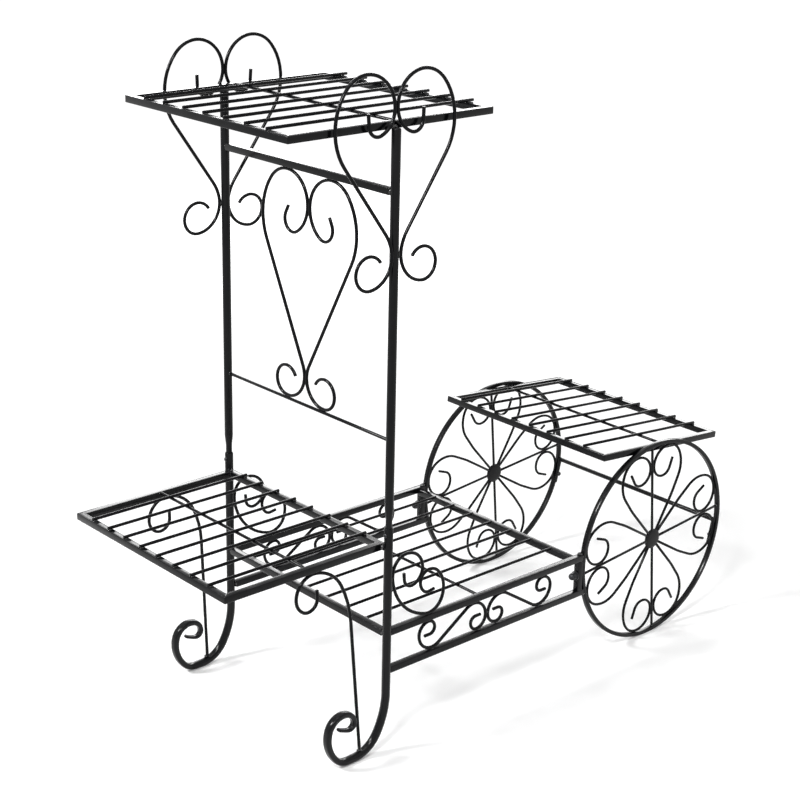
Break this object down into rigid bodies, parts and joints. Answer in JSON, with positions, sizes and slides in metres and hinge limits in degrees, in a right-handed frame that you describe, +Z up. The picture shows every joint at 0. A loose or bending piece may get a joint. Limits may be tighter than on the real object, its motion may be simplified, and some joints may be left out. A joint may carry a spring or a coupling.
{
  "type": "plant stand",
  "caption": "Metal plant stand shaped like a push cart, with slatted trays on several levels, wire hearts, scrolled feet and two wheels filled with scrolls.",
  "frame": {"origin": "on the floor, at the centre of the bounding box's underside", "axes": "+X along the cart from the low tray to the wheels, +Y across it to the far side, +Z up"},
  "size_m": [0.7996, 0.3024, 0.7675],
  "materials": {
    "black_paint": "gloss black powder coat on steel",
    "dark_zinc": "blackened zinc on steel fasteners"
  },
  "bodies": {
    "root": {"centre_heart_far": "black_paint", "centre_heart_near": "black_paint", "corner_scroll_far": "black_paint", "corner_scroll_near": "black_paint", "cross_tube_screw_far": "dark_zinc", "cross_tube_screw_near": "dark_zinc", "end_post_far": "black_paint", "end_post_near": "black_paint", "heart_cross_rod": "black_paint", "left_tray_frame": "black_paint", "left_tray_slats": "black_paint", "leg_brace_far": "black_paint", "leg_brace_near": "black_paint", "leg_far": "black_paint", "leg_near": "black_paint", "lower_side_rail_far": "black_paint", "lower_side_rail_near": "black_paint", "middle_end_rail_left": "black_paint", "middle_end_rail_right": "black_paint", "middle_side_rail_far": "black_paint", "middle_side_rail_near": "black_paint", "middle_tray_slats": "black_paint", "s_scroll_far_left": "black_paint", "s_scroll_far_right": "black_paint", "s_scroll_near_left": "black_paint", "s_scroll_near_right": "black_paint", "side_heart_far_left": "black_paint", "side_heart_far_right": "black_paint", "side_heart_near_left": "black_paint", "side_heart_near_right": "black_paint", "top_crossbar": "black_paint", "top_tray_frame": "black_paint", "top_tray_slats": "black_paint", "upper_post_far": "black_paint", "upper_post_near": "black_paint", "wheel_bolt_far": "dark_zinc", "wheel_bolt_near": "dark_zinc", "wheel_cross_tube": "black_paint", "wheel_hub_far": "black_paint", "wheel_hub_near": "black_paint", "wheel_rim_far": "black_paint", "wheel_rim_near": "black_paint", "wheel_scroll_far_1": "black_paint", "wheel_scroll_far_2": "black_paint", "wheel_scroll_far_3": "black_paint", "wheel_scroll_far_4": "black_paint", "wheel_scroll_far_5": "black_paint", "wheel_scroll_far_6": "black_paint", "wheel_scroll_far_7": "black_paint", "wheel_scroll_far_8": "black_paint", "wheel_scroll_near_1": "black_paint", "wheel_scroll_near_2": "black_paint", "wheel_scroll_near_3": "black_paint", "wheel_scroll_near_4": "black_paint", "wheel_scroll_near_5": "black_paint", "wheel_scroll_near_6": "black_paint", "wheel_scroll_near_7": "black_paint", "wheel_scroll_near_8": "black_paint", "wheel_tray_frame": "black_paint", "wheel_tray_slats": "black_paint"}
  },
  "joints": []
}
